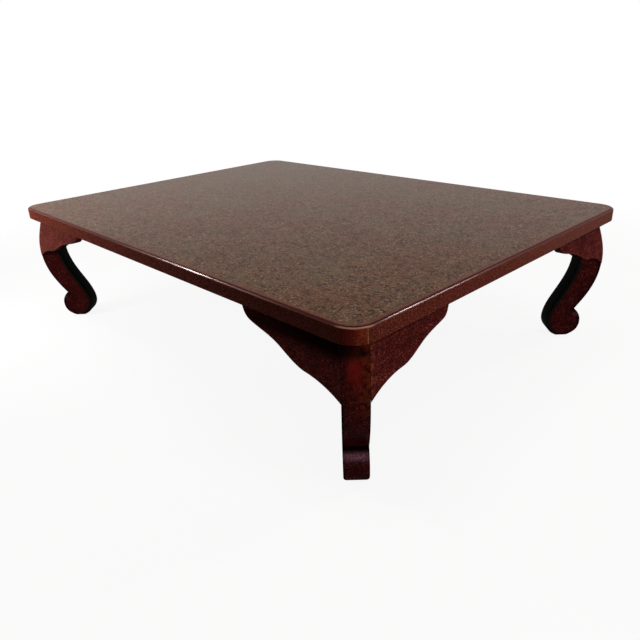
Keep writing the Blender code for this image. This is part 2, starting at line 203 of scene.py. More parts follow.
def topColour(place):  # the flat: speckle, clouds, an olive tint over the far half, and dents
    look = topLook
    grain = place.noise(430.0, 2.0, 0.6)
    patch = place.noise(105.0, 2.0, 0.6)
    mottle = place.noise(26.0, 3.0, 0.55)
    ground = (grain * 0.35 + patch * 0.5 + mottle * 0.15).rise(0.38, 0.56)
    colour = ground.mix(look["shadow"], look["ground"])
    for scale, key, rare in topFlecks:
        fleck = place.flecks(scale, "X", (rare, rare + 0.04), (0.22, 0.5))
        colour = (fleck * 0.85).mix(colour, look[key])
    drift = place.noise(9.0, 3.0, 0.6)
    colour = (drift.rise(0.46, 0.68) * 0.22).mix(colour, look["cool"])
    colour = (drift.fall(0.36, 0.5) * 0.16).mix(colour, look["warm"])
    fade = place.axis("Y") * 0.8 - place.axis("X") * 0.6  # the far half is tinted a little olive
    colour = (fade.rise(-0.2, 0.55) * 0.32).mix(colour, look["faded"])
    dents = place.awayFrom(*topSpots["dents"]).fall(0.020, 0.048) * place.cells(95.0).fall(0.13, 0.28)
    return (dents * 0.75).mix(colour, look["dark"]), grain


def sideColour(place):  # the rims: speckle, a painted sheen that makes them paler at the back, painted shade that darkens them by the near corner, and redder there
    look = topLook
    along, across = place.axis("X"), place.axis("Y")
    grain = place.noise(420.0, 3.0, 0.62)
    colour = grain.rise(0.43, 0.60).mix(look["sideDark"], look["side"])
    fleck = place.flecks(360.0, "Y", (0.66, 0.72), (0.2, 0.5))
    colour = (fleck * 0.6).mix(colour, look["sideFleck"])
    # painted sheen: paler towards the back
    colour = (across.rise(-0.25, 0.4) * 0.3).mix(colour, look["sideFaded"])
    # painted shade along the front rim towards the near corner
    paintedShade = along.rise(0.1, 0.55) * along.fall(0.572, 0.592) * across.fall(-0.43, -0.395)
    colour = (paintedShade * 0.5).mix(colour, look["sideDark"])
    cherry = place.awayFrom(*topSpots["cherry"]).fall(0.004, 0.030)
    return (cherry * 0.6).mix(colour, look["cherry"]), grain


def arrisColour(place):  # painted highlight: lighter at the near corner, and a little along the front
    along = place.axis("X")
    frontHighlight = along.rise(-0.1, 0.1) * along.fall(0.36, 0.5) * 0.3
    bare = (place.awayFrom(*topSpots["bend"]).fall(0.018, 0.036) * 0.85).atLeast(frontHighlight)
    return bare.mix(topLook["arris"], topLook["bare"])


def arrisCoat(place):  # where hands have rubbed it bright
    look = topLook
    along, across = place.axis("X"), place.axis("Y")
    front, right = across.fall(-0.43, -0.41), along.rise(0.57, 0.59)
    handled = along.rise(-0.1, 0.1) * along.fall(0.32, 0.46) * front
    handled = handled.atLeast(across.fall(-0.1, 0.1) * right)
    bright = abs(along - 0.215).fall(0.01, 0.06) * front
    bright = bright.atLeast(abs(across + 0.345).fall(0.02, 0.06) * right)
    return look["arrisCoat"] + handled * look["polish"] + bright * look["shine"]


def topFinish(name, gloss):
    look = topLook
    finish, shader, place = newFinish(name, gloss)
    unrolled = edgeInset(place) - (boardHigh.z - place.axis("Z"))  # runs over the arris and down the side
    waver = (place.noise(60.0, 3.0) - 0.5) * 0.002
    path = unrolled + waver
    band = {key: path.fall(*ends) for key, ends in topBands.items()}
    colour, grain = topColour(place)
    side, sideGrain = sideColour(place)
    colour = (band["worn"] * 0.6).mix(colour, look["worn"])
    # painted shade: a dark line just inside the arris
    colour = band["line"].mix(colour, look["line"])
    colour = band["arris"].mix(colour, arrisColour(place))
    colour = band["side"].mix(colour, side)
    wornAndLit = unrolled * 0.0
    # orange corners: partly wear, partly painted light where the rims are lit
    for x, y, reach in wornAndLitCorners:
        wornAndLit = wornAndLit.atLeast(place.awayFrom(x, y).fall(reach * 0.2, reach))
    wornAndLit = wornAndLit * unrolled.fall(-0.004, 0.004) * place.noise(170.0, 4.0).rise(0.40, 0.56)
    colour = (wornAndLit * 0.4).mix(colour, look["orange"])
    crack = (place.awayFrom(*topSpots["split"]) + waver).fall(0.0004, 0.0014)
    crack = crack * path.fall(-0.003, 0.001) * place.noise(260.0).rise(0.36, 0.6)
    colour = (crack * 0.7).mix(colour, look["split"])
    polished = path.rise(*topBands["side"]) * band["polish"]
    feed(shader, {"Base Color": colour,
                  "Coat Weight": gloss["Coat Weight"] * 0.6 + polished * arrisCoat(place),
                  "Roughness": 0.26 + (grain - 0.5) * 0.14 + wornAndLit * 0.1,
                  "Normal": (grain * 0.5 + sideGrain * 0.5).bump(0.12, 0.0003)})
    return finish


# red and black lacquer, steel and brass

redGloss = {"Specular IOR Level": 0.0, "Coat Weight": 0.025, "Coat Roughness": 0.2}
redLook = {"deep": tint(27, 4, 4), "wine": tint(72, 18, 16), "purple": tint(116, 62, 66),
           "orange": tint(136, 54, 26), "black": tint(16, 16, 14), "edge": tint(16, 5, 5),
           "glow": tint(122, 20, 22), "crown": tint(132, 74, 98), "faded": tint(62, 15, 14),
           "fleck": 0.55, "sheen": 0.45, "edgeRun": (-2.0, -1.0)}
bracketLook = {"deep": tint(41, 8, 7), "wine": tint(94, 32, 27), "purple": tint(128, 70, 62),
               "orange": tint(134, 66, 44), "black": tint(16, 14, 13), "edge": tint(28, 8, 7),
               "glow": tint(120, 20, 22), "crown": tint(104, 58, 76), "faded": tint(116, 72, 58),
               "fleck": 0.8, "sheen": 0.0, "edgeRun": (-0.3, 0.3)}


def redFinish(name, look, gloss):
    finish, shader, place = newFinish(name, gloss)
    along = place.axis("X")
    # painted shade and shadow: the edge attribute marks creases, the front's rounded edges and the overhang
    edge = place.painted("edge") * along.rise(*look["edgeRun"])
    sheen = place.painted("sheen")
    across = abs((abs(along) - boardHigh.x - abs(place.axis("Y")) + boardHigh.y) / root2)  # from the diagonal
    # painted highlight on the knee of each leg
    glow = place.painted("glow") * across.fall(0.0, 0.019)
    grain = place.noise(380.0, 3.0, 0.62)
    mottle = place.noise(38.0, 3.0, 0.55)
    colour = (grain * 0.8 + mottle * 0.2).rise(0.41, 0.60).mix(look["deep"], look["wine"])
    fleck = place.flecks(300.0, "X", (0.58, 0.64), (0.2, 0.5)) * mottle.rise(0.34, 0.58)
    colour = (fleck * look["fleck"]).mix(colour, look["purple"])
    # painted light: the left end tinted, warmer and lighter on the brackets, as where light falls from the left
    faded = along.fall(-0.5, -0.2) * grain.rise(0.3, 0.7) * 0.30
    colour = faded.mix(colour, look["faded"])
    # painted highlight: the glow colour on the knee
    colour = (glow * (0.6 + mottle * 0.5)).atMost(1.0).mix(colour, look["glow"])
    # painted highlight on the crown of the toe, where the coat is also heavier
    colour = (sheen * across.fall(0.012, 0.022) * grain.rise(0.35, 0.6)).mix(colour, look["crown"])
    # orange from the painted mask: partly wear, partly a painted highlight on lower edges, by the legs and on one
    # side of the leg's front
    worn = place.painted("rub") * place.noise(110.0, 4.0, 0.65).rise(0.40, 0.62)
    colour = (worn * 0.8).mix(colour, look["orange"])
    # painted shade mixed in from the edge attribute
    colour = (edge * (0.8 + mottle * 0.4)).atMost(1.0).mix(colour, look["edge"])
    shade = (place.painted("back") + (mottle - 0.5) * 0.12).rise(0.80, 0.97)
    colour = shade.mix(colour, look["black"])
    feed(shader, {"Base Color": colour,
                  "Coat Weight": gloss["Coat Weight"] * (1 - edge).atLeast(0.0) + sheen * look["sheen"],
                  "Roughness": 0.34 + (grain - 0.5) * 0.2 + worn * 0.12,
                  "Normal": grain.bump(0.12, 0.0003)})
    return finish


blackLook = {"ground": tint(20, 19, 17), "brown": tint(36, 27, 21), "dust": tint(58, 52, 46)}


def blackFinish(name, stretch):  # brushed black lacquer, thin enough to show some wood
    look = blackLook
    finish, shader, place = newFinish(name, sideGloss)
    strokes = place.stretched(*stretch).noise(60.0, 4.0, 0.6)
    cloud = place.noise(14.0, 3.0)
    colour = strokes.rise(0.4, 0.7).mix(look["ground"], look["brown"])
    specks = place.flecks(420.0, "X", (0.90, 0.93), (0.15, 0.4))
    colour = (specks * cloud.rise(0.45, 0.7) * 0.6).mix(colour, look["dust"])
    feed(shader, {"Base Color": colour, "Roughness": 0.42 + (strokes - 0.5) * 0.3,
                  "Normal": strokes.bump(0.2, 0.0004)})
    return finish


metalLook = {"steel": {"bright": tint(150, 146, 138), "dull": tint(96, 90, 82), "spot": tint(96, 54, 30),
                       "stretch": (1.0, 0.1, 1.0)},
             "brass": {"bright": tint(196, 160, 92), "dull": tint(112, 84, 44), "spot": tint(112, 84, 44),
                       "stretch": (1.0, 1.0, 0.1)}}


def metalFinish(name, look):
    finish, shader, place = newFinish(name, {})
    drawn = place.stretched(*look["stretch"]).noise(700.0, 3.0, 0.6)
    cloud = place.noise(120.0, 3.0, 0.6)
    colour = (drawn * 0.5 + cloud * 0.5).rise(0.35, 0.65).mix(look["dull"], look["bright"])
    stain = place.noise(210.0, 4.0, 0.65).rise(0.58, 0.70)
    colour = (stain * 0.8).mix(colour, look["spot"])
    feed(shader, {"Base Color": colour, "Metallic": 1 - stain * 0.75,
                  "Roughness": 0.30 + (drawn - 0.5) * 0.3 + stain * 0.3,
                  "Normal": drawn.bump(0.15, 0.0001)})
    return finish


# shared mesh work

def clamped(value):
    return max(0.0, min(1.0, value))


def bezier(points, steps):
    return [Vector(p) for p in interpolate_bezier(*[Vector(p) for p in points], steps + 1)]


def arc(centre, radius, start, end, steps):
    angles = [math.radians(start + (end - start) * i / steps) for i in range(steps + 1)]
    return [Vector((centre[0] + radius * math.cos(a), centre[1] + radius * math.sin(a))) for a in angles]


def resample(points, count):  # evenly spaced along the line, both ends kept
    runs = [0.0]
    for a, b in zip(points, points[1:]):
        runs.append(runs[-1] + (b - a).length)
    spaced = []
    spot = 0
    for i in range(count + 1):
        goal = runs[-1] * i / count
        while spot < len(runs) - 2 and runs[spot + 1] < goal:
            spot += 1
        share = (goal - runs[spot]) / max(runs[spot + 1] - runs[spot], 1e-12)
        spaced.append(points[spot].lerp(points[spot + 1], share))
    return spaced


def newMesh(name, verts, faces):
    mesh = bpy.data.meshes.new(name)
    mesh.from_pydata([tuple(v) for v in verts], [], faces)
    return mesh


def newObject(name, data):
    made = bpy.data.objects.new(name, data)
    bpy.context.scene.collection.objects.link(made)
    return made


def paintMesh(mesh, series):
    for name, values in series.items():
        mesh.attributes.new(name, "FLOAT", "POINT").data.foreach_set("value", values)


def smoothEdges(mesh, sharp=35.0, weld=2e-6):  # closed, faces outwards, rounded parts shaded smooth
    shape = bmesh.new()
    shape.from_mesh(mesh)
    bmesh.ops.remove_doubles(shape, verts=shape.verts, dist=weld)
    bmesh.ops.dissolve_degenerate(shape, edges=shape.edges, dist=1e-7)
    bmesh.ops.recalc_face_normals(shape, faces=shape.faces)
    for face in shape.faces:
        face.smooth = True
    for edge in shape.edges:
        edge.smooth = edge.calc_face_angle(0.0) < math.radians(sharp)
    shape.to_mesh(mesh)
    shape.free()
    return mesh


def simplified(mesh, angle):  # facets of one flat face made into one
    shape = bmesh.new()
    shape.from_mesh(mesh)
    bmesh.ops.remove_doubles(shape, verts=shape.verts, dist=1e-5)
    bmesh.ops.dissolve_limit(shape, angle_limit=math.radians(angle), verts=shape.verts, edges=shape.edges)
    shape.to_mesh(mesh)
    shape.free()
    return mesh


def evaluated(mesh, modify):  # a throwaway object carries the modifiers, and its result is a plain mesh
    holder = newObject("holder", mesh)
    modify(holder)
    result = bpy.data.meshes.new_from_object(holder.evaluated_get(bpy.context.evaluated_depsgraph_get()))
    bpy.data.objects.remove(holder)
    return result


def bevelled(mesh, width, angle):  # edges that turn by more than the angle are taken off
    def modify(holder):
        bevel = holder.modifiers.new("arris", "BEVEL")
        bevel.width = width
        bevel.segments = 2
        bevel.limit_method = "ANGLE"
        bevel.angle_limit = math.radians(angle)
    return evaluated(mesh, modify)


def cameled(name):
    words = name.split("_")
    return words[0] + "".join(w.capitalize() for w in words[1:])


def addPiece(node, mesh, finish, body, nodes=None):  # named after the node that it dresses
    if finish is not None:
        mesh.materials.clear()
        mesh.materials.append(finish)
    mesh.name = cameled(node)
    piece = newObject(mesh.name, mesh)
    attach(piece, body)
    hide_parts(*(nodes or [node]))


def cornerPoint(signs):
    return Vector((signs[0] * boardHigh.x, signs[1] * boardHigh.y, 0))


def axesFrame(origin, first, second, third):
    placed = Matrix.Identity(4)
    for column, direction in enumerate((first, second, third)):
        placed.col[column] = (*direction, 0)
    placed.translation = origin
    return placed


def diagonalFrame(signs):  # x in along the corner's diagonal, y across it, z up
    inwards = Vector((-signs[0], -signs[1], 0)) / root2
    return axesFrame(cornerPoint(signs), inwards, up.cross(inwards), up)


# shared Geometry Nodes work

def newTree(name, sizes):  # a tree with its sizes as named inputs
    tree = bpy.data.node_groups.new(name, "GeometryNodeTree")
    tree.interface.new_socket("Geometry", in_out="INPUT", socket_type="NodeSocketGeometry")
    keys = {}
    for label, value in sizes.items():
        kind = "NodeSocketInt" if isinstance(value, int) else "NodeSocketFloat"
        keys[label] = tree.interface.new_socket(label, in_out="INPUT", socket_type=kind).identifier
    tree.interface.new_socket("Geometry", in_out="OUTPUT", socket_type="NodeSocketGeometry")
    entry = tree.nodes.new("NodeGroupInput")
    ending = tree.nodes.new("NodeGroupOutput")
    wires = {label: Wire(tree, entry.outputs[label]) for label in ("Geometry", *sizes)}
    return tree, keys, wires, ending


def runTree(tree, keys, sizes, mesh):
    def modify(holder):
        modifier = holder.modifiers.new("nodes", "NODES")
        modifier.node_group = tree
        for label, value in sizes.items():
            modifier[keys[label]] = value
    result = evaluated(mesh, modify)
    for index in reversed(range(len(result.materials))):  # the bare mesh brought an empty place along
        if result.materials[index] is None:
            result.materials.pop(index=index)
    return result


def joined(wires):
    join = wires[0].tree.nodes.new("GeometryNodeJoinGeometry")
    for wire in wires:
        wire.tree.links.new(wire.socket, join.inputs[0])
    return Wire(wires[0].tree, join.outputs[0])


def lifted(shape, height):
    lift = shape.node("ShaderNodeCombineXYZ", {}, {"Z": height})
    return shape.node("GeometryNodeTransform", {}, {"Geometry": shape, "Translation": lift})


def welded(shape, distance):
    return shape.node("GeometryNodeMergeByDistance", {}, {"Geometry": shape, "Distance": distance})


def realized(shape):
    return shape.node("GeometryNodeRealizeInstances", {}, {"Geometry": shape})


def coated(shape, finish, selection=True):
    return shape.node("GeometryNodeSetMaterial", {}, {"Geometry": shape, "Selection": selection,
                                                      "Material": finish})


# top: board and rims under one coat of lacquer

topSize = {"cornerRadius": 0.042, "cornerSteps": 12, "lowerEdge": 0.002, "flatStart": 0.0095,
           "lowerStart": 0.006, "rimWidth": 0.046, "holdSide": 0.001, "holdUnder": 0.0008}
crownRuns = ((0.0025, 0, 36, 5), (0.0023, 36, 40, 4), (0.0017, 40, 90, 6))  # length, tilts at both ends, steps


def crownPoints():  # the worn edge of the top, from its flat to its side, as run and fall
    points = [Vector((0, 0))]
    for length, start, end, steps in crownRuns:
        for i in range(steps):
            tilt = math.radians(start + (end - start) * (i + 0.5) / steps)
            points.append(points[-1] + Vector((math.cos(tilt), math.sin(tilt))) * (length / steps))
    return points


def edgeProfile():  # inset and height, from the flat of the top to the flat under the rim
    size = topSize
    crown = crownPoints()
    foot = size["lowerEdge"]
    hold = size["holdSide"]
    high = boardHigh.z
    points = [(size["flatStart"], high)] + [(crown[-1].x - p.x, high - p.y) for p in crown]
    points += [(0.0, high - crown[-1].y - hold), (0.0, underside + foot + hold)]
    points += [(foot - foot * math.cos(a), underside + foot - foot * math.sin(a))
               for a in [math.radians(90 * i / 4) for i in range(5)]]
    return points + [(foot + size["holdUnder"], underside), (size["lowerStart"], underside)]


def topTree(sizes, finishes):
    tree, keys, wires, ending = newTree("lacqueredTop", sizes)
    start = wires["Geometry"]

    def outline(inset, rounded=True):
        path = start.node("GeometryNodeCurvePrimitiveQuadrilateral", {},
                          {"Width": wires["Length"] - inset * 2.0, "Height": wires["Width"] - inset * 2.0})
        if not rounded:
            return path
        return path.node("GeometryNodeFilletCurve", {"mode": "POLY"},
                         {"Curve": path, "Count": wires["Steps"], "Radius": wires["Corner"] - inset})

    def filled(curve, height):
        return lifted(curve.node("GeometryNodeFillCurve", {"mode": "NGONS"}, {"Curve": curve}), height)

    def hung(height):  # a sweep hangs its profile head down
        return start.node("ShaderNodeCombineXYZ", {}, {"Y": height * -1.0})

    def above(value, limit):
        return value.node("FunctionNodeCompare", {"operation": "GREATER_THAN"}, {0: value, 1: limit})

    profile = start.node("GeometryNodeMeshToCurve", {}, {"Mesh": start})
    skin = profile.node("GeometryNodeCurveToMesh", {}, {
        "Curve": outline(wires["Corner"] * 0.0), "Profile Curve": profile})
    crown = filled(outline(wires["Flat"]), wires["Top"])
    inner = outline(wires["Rim"], False)
    ring = filled(joined([outline(wires["Lower"]), inner]), wires["Underside"])
    drop = start.node("GeometryNodeCurvePrimitiveLine", {}, {
        "Start": hung(wires["Underside"]), "End": hung(wires["Recess"])})
    wall = drop.node("GeometryNodeCurveToMesh", {}, {"Curve": inner, "Profile Curve": drop})
    whole = joined([skin, crown, ring, wall, filled(inner, wires["Recess"])])
    whole = realized(welded(whole, 0.0005))
    spot = whole.node("GeometryNodeInputPosition")
    whole = coated(whole, finishes["side"])
    whole = coated(whole, finishes["under"], above(edgeInset(spot), wires["Lower"] * 0.5))
    whole = coated(whole, finishes["top"], above(spot.axis("Z"), wires["Top"] - crownPoints()[-1].y - 0.0002))
    tree.links.new(whole.socket, ending.inputs[0])
    return tree, keys


def makeTop():
    size = topSize
    finishes = {"top": topFinish("speckledTop", topGloss), "side": topFinish("speckledEdge", sideGloss),
                "under": blackFinish("blackUnderside", (1.0, 0.12, 1.0))}
    sizes = {"Length": boardHigh.x * 2, "Width": boardHigh.y * 2, "Corner": size["cornerRadius"],
             "Flat": size["flatStart"], "Lower": size["lowerStart"], "Rim": size["rimWidth"],
             "Top": boardHigh.z, "Underside": underside, "Recess": boardLow.z, "Steps": size["cornerSteps"]}
    tree, keys = topTree(sizes, finishes)
    points = edgeProfile()
    profile = bpy.data.meshes.new("edgeProfile")
    profile.from_pydata([(-inset, -height, 0) for inset, height in points],
                        [(i, i + 1) for i in range(len(points) - 1)], [])
    mesh = smoothEdges(runTree(tree, keys, sizes, profile), 35.0, 5e-5)
    addPiece("lacquered_top", mesh, None, "top",
             ["top_board", "rim_front", "rim_back", "rim_left", "rim_right"])
    print("top", len(mesh.polygons), "faces", [m.name for m in mesh.materials])


# legs

legSize = {"width": 0.0433, "topInset": 0.052, "kneeInset": 0.0302, "kneeDrop": 0.092, "waistInset": 0.083,
           "waistDrop": 0.092, "footInset": 0.100, "footRadius": 0.0393, "footFlat": 0.0236,
           "creaseAngle": 124.0, "heelAngle": 5.0, "pivotInset": 0.112, "pivotDrop": 0.0105,
           "boreRadius": 0.0033, "edgeSharp": 0.0004, "edgeRound": 0.0024, "footRound": 0.0065,
           "shoulder": 0.196, "shoulderFade": 0.02, "footFade": 0.012, "roundSteps": 4}
legShares = (0.0, 0.02, 0.1, 0.22, 0.36, 0.5, 0.64, 0.76, 0.84, 0.90, 0.95, 0.98, 1.0)  # from front to back
legPaint = {"rubFrom": 0.150, "rubFade": 0.03, "creaseReach": 0.013, "sootFrom": 0.246, "sootFade": 0.010,
            "glowAt": 0.238, "glowAbove": 0.010, "glowBelow": 0.028, "crownAngle": 146.0, "crownReach": 14.0}
pivotHeight = underside - legSize["pivotDrop"]
footHeight = math.sqrt(legSize["footRadius"] ** 2 - (legSize["footFlat"] / 2) ** 2)
footCentre = (legSize["footInset"], footHeight)


def footArc(start, end, steps):  # along the rolled foot
    return arc(footCentre, legSize["footRadius"], start, end, steps)


def toeCrease():
    return footArc(legSize["creaseAngle"], legSize["creaseAngle"], 1)[0]


def legFront(steps):  # outer face from the seat to the toe crease, as inset and height
    size = legSize
    crease = toeCrease()
    top, knee = size["topInset"], size["kneeInset"]
    bow = top - knee
    drop = size["kneeDrop"]
    kneeHeight = underside - drop
    fall = kneeHeight - crease.y
    upper = bezier([(top, seat), (top - bow * 0.48, seat - drop * 0.33),
                    (knee, kneeHeight + drop * 0.38), (knee, kneeHeight)], steps)
    lower = bezier([(knee, kneeHeight), (knee, kneeHeight - fall * 0.42),
                    (knee + (crease.x - knee) * 0.46, crease.y + fall * 0.285), crease], steps)
    return upper + lower[1:]


def legBack():  # inner face from the pivot knuckle to the heel
    size = legSize
    heel = footArc(size["heelAngle"], size["heelAngle"], 1)[0]
    waist = Vector((size["waistInset"], underside - size["waistDrop"]))
    rise = waist.y - heel.y
    knuckle = arc((size["pivotInset"], pivotHeight), seat - pivotHeight, 90, -20, 16)
    flare = knuckle[-1].y - waist.y
    head = bezier([knuckle[-1], knuckle[-1] - Vector((flare * 0.123, flare * 0.337)),
                   waist + Vector((-flare * 0.046, flare * 0.385)), waist], 20)
    shank = bezier([waist, waist + Vector((rise * 0.04, -rise * 0.436)),
                    heel + Vector((-rise * 0.028, rise * 0.32)), heel], 28)
    return knuckle + head[1:] + shank[1:]


def legRim(rows, columns):  # once round the flat side, as row and column
    rim = [(i, 0) for i in range(rows)] + [(rows - 1, j) for j in range(1, columns)]
    rim += [(i, columns - 1) for i in range(rows - 2, -1, -1)]
    return rim + [(0, j) for j in range(columns - 2, 0, -1)]


def inwardNormals(outline):  # mitred, so that an inset keeps its width
    normals = []
    for before, here, after in zip(outline[-1:] + outline[:-1], outline, outline[1:] + outline[:1]):
        entry, leaving = (here - before).normalized(), (after - here).normalized()
        first, second = Vector((-entry.y, entry.x)), Vector((-leaving.y, leaving.x))
        normals.append((first + second) / max(1 + first.dot(second), 0.3))
    return normals


def legRadius(row, height):  # sharp at the seat and between the brackets, round below, fuller at the floor
    size = legSize
    if row == 0:
        return size["edgeSharp"]
    low = clamped((size["shoulder"] - height) / size["shoulderFade"])
    floor = clamped(1.3 - height / size["footFade"])
    radius = size["edgeSharp"] + (size["edgeRound"] - size["edgeSharp"]) * low
    return radius + (size["footRound"] - size["edgeRound"]) * floor


def legShade(point, share, across, turn):  # orange partly wear and partly painted highlight, painted shade in the toe crease, on the front's rounded edges and under the overhang, a painted highlight on the knee, and a painted highlight with more gloss on the toe's crown
    look = legPaint
    crease = toeCrease()
    front = 1.0 if share < 0.05 else 0.0
    face = 1.0 if front and turn > 1.2 else 0.0
    high = clamped((point.y - look["rubFrom"]) / look["rubFade"])
    # painted shade in the toe crease
    near = max(0.0, 1.0 - (point - crease).length / look["creaseReach"])
    # painted shadow under the overhang, darker on one side
    overhangShade = front * clamped((point.y - look["sootFrom"]) / look["sootFade"]) * (0.65 + 0.35 * across)
    # painted highlight on the knee
    offset = point.y - look["glowAt"]
    reach = look["glowAbove" if offset > 0 else "glowBelow"]
    angle = math.degrees(math.atan2(point.y - footCentre[1], point.x - footCentre[0]))
    crown = max(0.0, 1.0 - abs(angle - look["crownAngle"]) / look["crownReach"])
    return {"back": share, "rub": front * high * max(0.0, -across) * (0.62 if face else 0.9),
            "edge": min(1.0, max(near * near * 2.4, front * (1.0 - face), overhangShade)),
            "sheen": crown if front and point.y < crease.y else 0.0,
            "glow": face * math.exp(-(offset / reach) ** 2)}


def legMesh():  # in the corner's own frame: inset, across, height
    size = legSize
    flat = math.degrees(math.asin(footHeight / size["footRadius"]))
    back = legBack()
    front = resample(legFront(40), len(back) - 1)
    front += footArc(size["creaseAngle"], 180 + flat, 22)[1:]
    back += footArc(size["heelAngle"], -flat, 22)[1:]
    rows, columns = len(front), len(legShares)
    rim = legRim(rows, columns)
    count = len(rim)
    outline = [front[i].lerp(back[i], legShares[j]) for i, j in rim]
    normals = inwardNormals(outline)
    radii = [legRadius(i, point.y) for (i, j), point in zip(rim, outline)]
    inside = {key: p + n * r for key, p, n, r in zip(rim, outline, normals, radii)}
    half = size["width"] / 2
    verts, faces, shades = [], [], []

    def addPoint(point, sign, reach, share, turn):
        verts.append((point.x, sign * reach, point.y))
        shades.append(legShade(point, share, sign, turn))

    for sign in (-1, 1):  # the two flat sides
        first = len(verts)
        for i in range(rows):
            for j, share in enumerate(legShares):
                between = inside[(i, 0)].lerp(inside[(i, columns - 1)], share)
                addPoint(inside.get((i, j), between), sign, half, share, 0.0)
        for i in range(rows - 1):
            for j in range(columns - 1):
                a = first + i * columns + j
                faces.append((a, a + 1, a + columns + 1, a + columns))
    turns = [math.radians(90 * t / size["roundSteps"]) for t in range(1, size["roundSteps"] + 1)]
    rings = [[i * columns + j for i, j in rim]]
    for sign, angle in [(-1, a) for a in turns] + [(1, a) for a in reversed(turns)]:
        rings.append(range(len(verts), len(verts) + count))
        for (i, j), point, normal, radius in zip(rim, outline, normals, radii):
            addPoint(point + normal * radius * (1 - math.sin(angle)), sign,
                     half - radius * (1 - math.cos(angle)), legShares[j], angle)
    rings.append([(rows + i) * columns + j for i, j in rim])
    for low, high in zip(rings, rings[1:]):
        for k in range(count):
            n = (k + 1) % count
            faces.append((low[k], low[n], high[n], high[k]))
    mesh = newMesh("leg", verts, faces)
    paintMesh(mesh, {key: [shade[key] for shade in shades] for key in shades[0]})
    return mesh


def turned(profile, steps):  # closed shape about the y axis, from radius and reach points
    verts, faces = [], []
    for radius, reach in profile:
        for k in range(steps):
            a = 2 * math.pi * k / steps
            verts.append((radius * math.cos(a), reach, radius * math.sin(a)))
    for ring in range(len(profile) - 1):
        for k in range(steps):
            n = (k + 1) % steps
            a, b = ring * steps, (ring + 1) * steps
            faces.append((a + k, a + n, b + n, b + k))
    return newMesh("turned", verts, faces)


def makeLegs(finish):
    size = legSize
    reach, radius = size["width"], size["boreRadius"]
    drill = turned([(0, -reach), (radius, -reach), (radius, reach), (0, reach)], 32)
    drill.transform(Matrix.Translation((size["pivotInset"], 0, pivotHeight)))
    cutter = newObject("drill", smoothEdges(drill))

    def bore(holder):
        cut = holder.modifiers.new("bore", "BOOLEAN")
        cut.object = cutter
        cut.solver = "EXACT"

    blank = evaluated(smoothEdges(legMesh()), bore)
    bpy.data.objects.remove(cutter)
    for name, signs in corners.items():
        node = "leg_" + name
        mesh = blank.copy()
        mesh.transform(diagonalFrame(signs))
        addPiece(node, smoothEdges(mesh), finish, node)
    print("legs", len(blank.polygons), "faces each")


# corner brackets

# shadow and nearShadow: depth of the painted shadow under the overhang
bracketSize = {"long": 0.283, "short": 0.249, "drop": 0.100, "shoulder": 0.112, "back": 0.034,
               "slotHalf": 0.02195, "edge": 0.0016, "columns": 72, "longRub": 0.15, "shortRub": 0.9,
               "lip": 0.0045, "shadow": 0.017, "nearShadow": 0.042, "near": "bracket_front_right_long"}

# drop at each knot as a share of the whole drop, with how much less it gets per metre of run
bracketWaves = {"long": {"neck": 0.904, "shoulder": (0.760, 1.03), "middle": (0.511, 4.24),
                         "lip": (0.315, 2.89)},
                "short": {"neck": 0.850, "shoulder": (0.707, 0.81), "middle": (0.493, 4.60),
                          "lip": (0.316, 2.66)}}


def bracketWave(length, shape):  # lower edge: run along the side and height
    size = bracketSize
    first = size["shoulder"]
    reach = length - first
    runs = {"shoulder": first, "middle": first + reach * 0.386, "lip": first + reach * 0.82}

    def at(run, drop):
        return (run, underside - size["drop"] * drop)

    def knot(name, run=None):  # the knot itself, or a handle on its slope
        drop, slope = shape[name]
        return at(runs[name], drop) if run is None else at(run, drop - slope * (run - runs[name]))

    line = bezier([at(first * 0.18, 1.18), at(first * 0.40, shape["neck"]),
                   knot("shoulder", first * 0.76), knot("shoulder")], 24)
    line += bezier([knot("shoulder"), knot("shoulder", first + reach * 0.13),
                    knot("middle", first + reach * 0.255), knot("middle")], 24)[1:]
    line += bezier([knot("middle"), knot("middle", first + reach * 0.52),
                    knot("lip", first + reach * 0.68), knot("lip")], 20)[1:]
    return line + bezier([knot("lip"), knot("lip", first + reach * 0.90),
                          at(first + reach * 0.96, 0.16), (length, seat)], 20)[1:]


def heightOn(line, run):
    for a, b in zip(line, line[1:]):
        if a.x <= run <= b.x:
            return a.y + (b.y - a.y) * (run - a.x) / max(b.x - a.x, 1e-9)
    return line[-1].y


def insetOn(line, height):  # the bowed front, read from top to bottom
    for a, b in zip(line, line[1:]):
        if b.y <= height <= a.y:
            return a.x + (b.x - a.x) * (a.y - height) / max(a.y - b.y, 1e-9)
    return line[0].x if height > line[0].y else line[-1].x


def bracketSection(bow, levels, foot, edge):  # once round: offset, height, and if the height is from the wave
    back = bracketSize["back"]
    section = [(insetOn(bow, seat - drop), seat - drop, False) for drop in levels]
    face = section[-1][0]
    for t in [math.radians(a) for a in (22.5, 45.0, 67.5, 90.0)]:
        section.append((face + edge * (1 - math.cos(t)), edge * (1 - math.sin(t)), True))
    start = section[-1][0]
    for reach in (0.35, 0.7):
        section.append((start + (back - edge - start) * reach, 0.0, True))
    for t in [math.radians(a) for a in (0.0, 45.0, 90.0)]:
        section.append((back - edge * (1 - math.sin(t)), edge * (1 - math.cos(t)), True))
    return section + [(back, (seat - foot) * 0.5 + foot, False), (back, seat, False),
                      (bow[0].x * 0.5 + back * 0.5, seat, False)]


